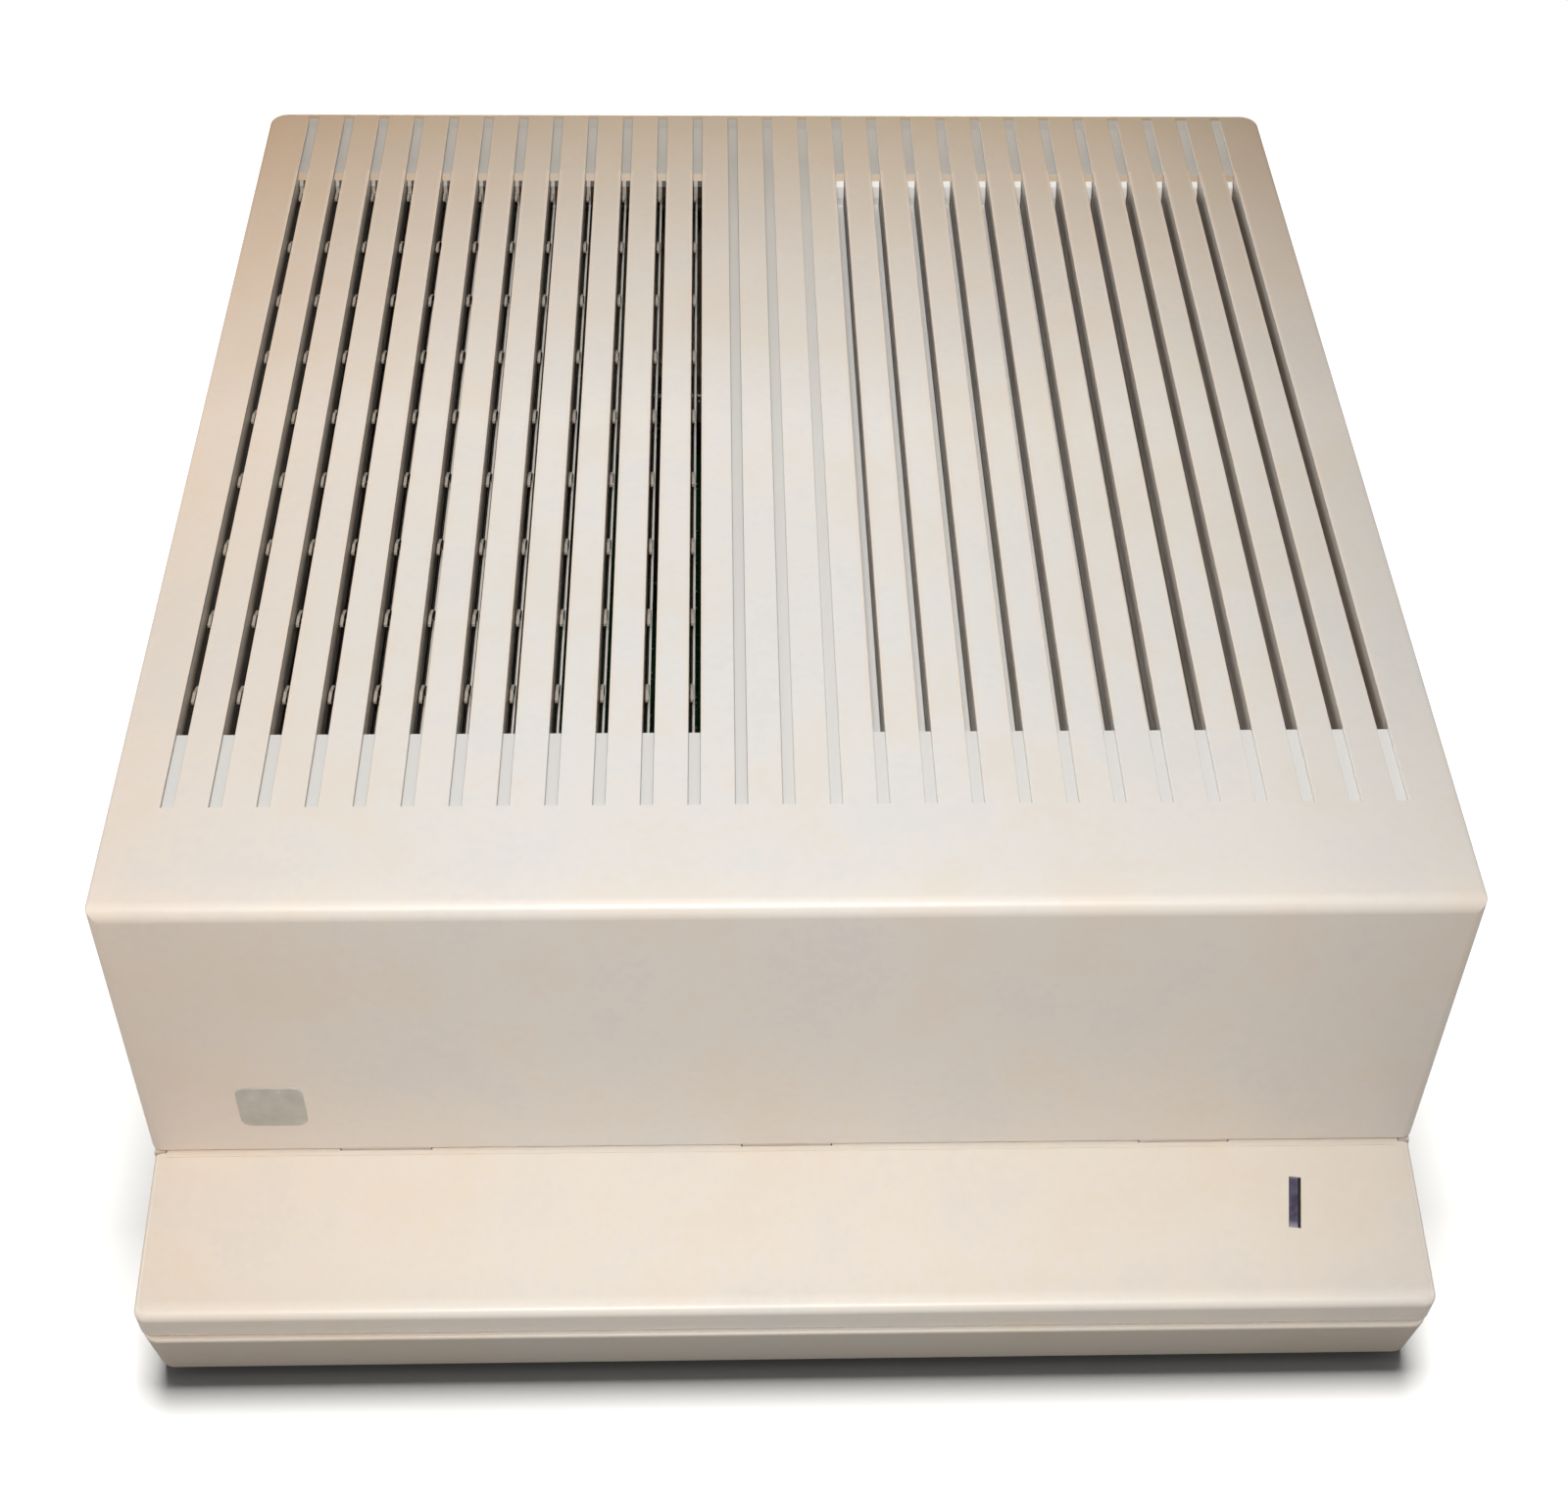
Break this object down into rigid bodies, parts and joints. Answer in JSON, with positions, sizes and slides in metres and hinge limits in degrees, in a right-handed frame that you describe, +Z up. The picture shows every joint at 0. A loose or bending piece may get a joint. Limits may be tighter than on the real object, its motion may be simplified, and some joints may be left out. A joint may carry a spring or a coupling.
{
  "type": "vintage home computer",
  "caption": "Desktop home computer: slotted plastic cover hinged above a low front ledge, over a pan with logic board, card connectors, power supply, speaker and rear ports.",
  "frame": {"origin": "on the table, under the middle of the machine's outline", "axes": "+Z up, -Y towards the user (front ledge and power light), +X to the user's right"},
  "size_m": [0.2846, 0.3478, 0.117],
  "materials": {
    "case_abs": "fine matt texture",
    "badge": "satin",
    "rubber": "matt",
    "smoked_window": "smoked, glossy",
    "lamp_body": "clear tint",
    "screw_steel": "zinc plated",
    "supply_steel": "zinc plated sheet",
    "circuit_board": "solder mask",
    "aluminium": "mill finish",
    "winding": "tape and lamination",
    "black_plastic": "moulded",
    "contact_brass": "plated",
    "chip_plastic": "moulded epoxy",
    "connector_plastic": "moulded",
    "white_nylon": "nylon",
    "battery": "sleeved",
    "port_plating": "nickel plated",
    "port_plastic": "moulded",
    "paper_cone": "pressed paper",
    "speaker_steel": "pressed steel",
    "lead_cover": "sleeved lead"
  },
  "bodies": {
    "base": {"base_pan": "case_abs", "board_capacitors": "battery", "board_screws": "screw_steel", "card_connector_1": "connector_plastic", "card_connector_2": "connector_plastic", "card_connector_3": "connector_plastic", "card_connector_4": "connector_plastic", "card_connector_5": "connector_plastic", "card_connector_6": "connector_plastic", "card_connector_7": "connector_plastic", "clock_battery": "battery", "custom_chips": "black_plastic", "disk_port": "port_plating", "expansion_covers": "case_abs", "front_ledge": "case_abs", "game_port": "port_plating", "harness_plug": "white_nylon", "headphone_jack": "port_plastic", "jack_screws": "screw_steel", "keyboard_port": "port_plastic", "lamp_lead": "lead_cover", "lead_headers": "white_nylon", "lead_plugs": "white_nylon", "logic_board": "circuit_board", "logic_chips": "chip_plastic", "mains_inlet": "black_plastic", "mains_pins": "contact_brass", "memory_chips": "chip_plastic", "memory_connector": "connector_plastic", "modem_port": "port_plastic", "monitor_port": "port_plating", "pan_screws": "screw_steel", "port_shield": "port_plating", "power_harness": "lead_cover", "power_header": "white_nylon", "power_lamp": "lamp_body", "power_light_window": "smoked_window", "printer_port": "port_plastic", "processor": "chip_plastic", "rom_chips": "chip_plastic", "rubber_feet": "rubber", "speaker_cone": "paper_cone", "speaker_frame": "speaker_steel", "speaker_lead": "lead_cover", "speaker_magnet": "black_plastic", "supply_board": "circuit_board", "supply_capacitors": "aluminium", "supply_case": "supply_steel", "supply_cover": "supply_steel", "supply_heatsinks": "aluminium", "supply_rivets": "screw_steel", "supply_transformer": "winding", "switch_frame": "black_plastic", "video_jack": "port_plating"},
    "cover": {"top_cover": "case_abs", "badge_plate": "badge"},
    "latch_left": {"cover_latch_left": "case_abs"},
    "latch_right": {"cover_latch_right": "case_abs"},
    "power_rocker": {"power_rocker": "black_plastic"}
  },
  "joints": [
    {"name": "cover_hinge", "type": "hinge", "parent": "base", "child": "cover", "pos_m": [0, -0.1346, 0.0353], "axis": [1, 0, 0], "range_deg": [0, 70]},
    {"name": "latch_left_flex", "type": "hinge", "parent": "cover", "child": "latch_left", "pos_m": [-0.095, 0.1711, 0.109], "axis": [1, 0, 0], "range_deg": [0, 8], "stiffness_Nm_per_rad": 0.5},
    {"name": "latch_right_flex", "type": "hinge", "parent": "cover", "child": "latch_right", "pos_m": [0.095, 0.1711, 0.109], "axis": [1, 0, 0], "range_deg": [0, 8], "stiffness_Nm_per_rad": 0.5},
    {"name": "power_switch", "type": "hinge", "parent": "base", "child": "power_rocker", "pos_m": [-0.1045, 0.1627, 0.055], "axis": [1, 0, 0], "range_deg": [0, 20]}
  ]
}
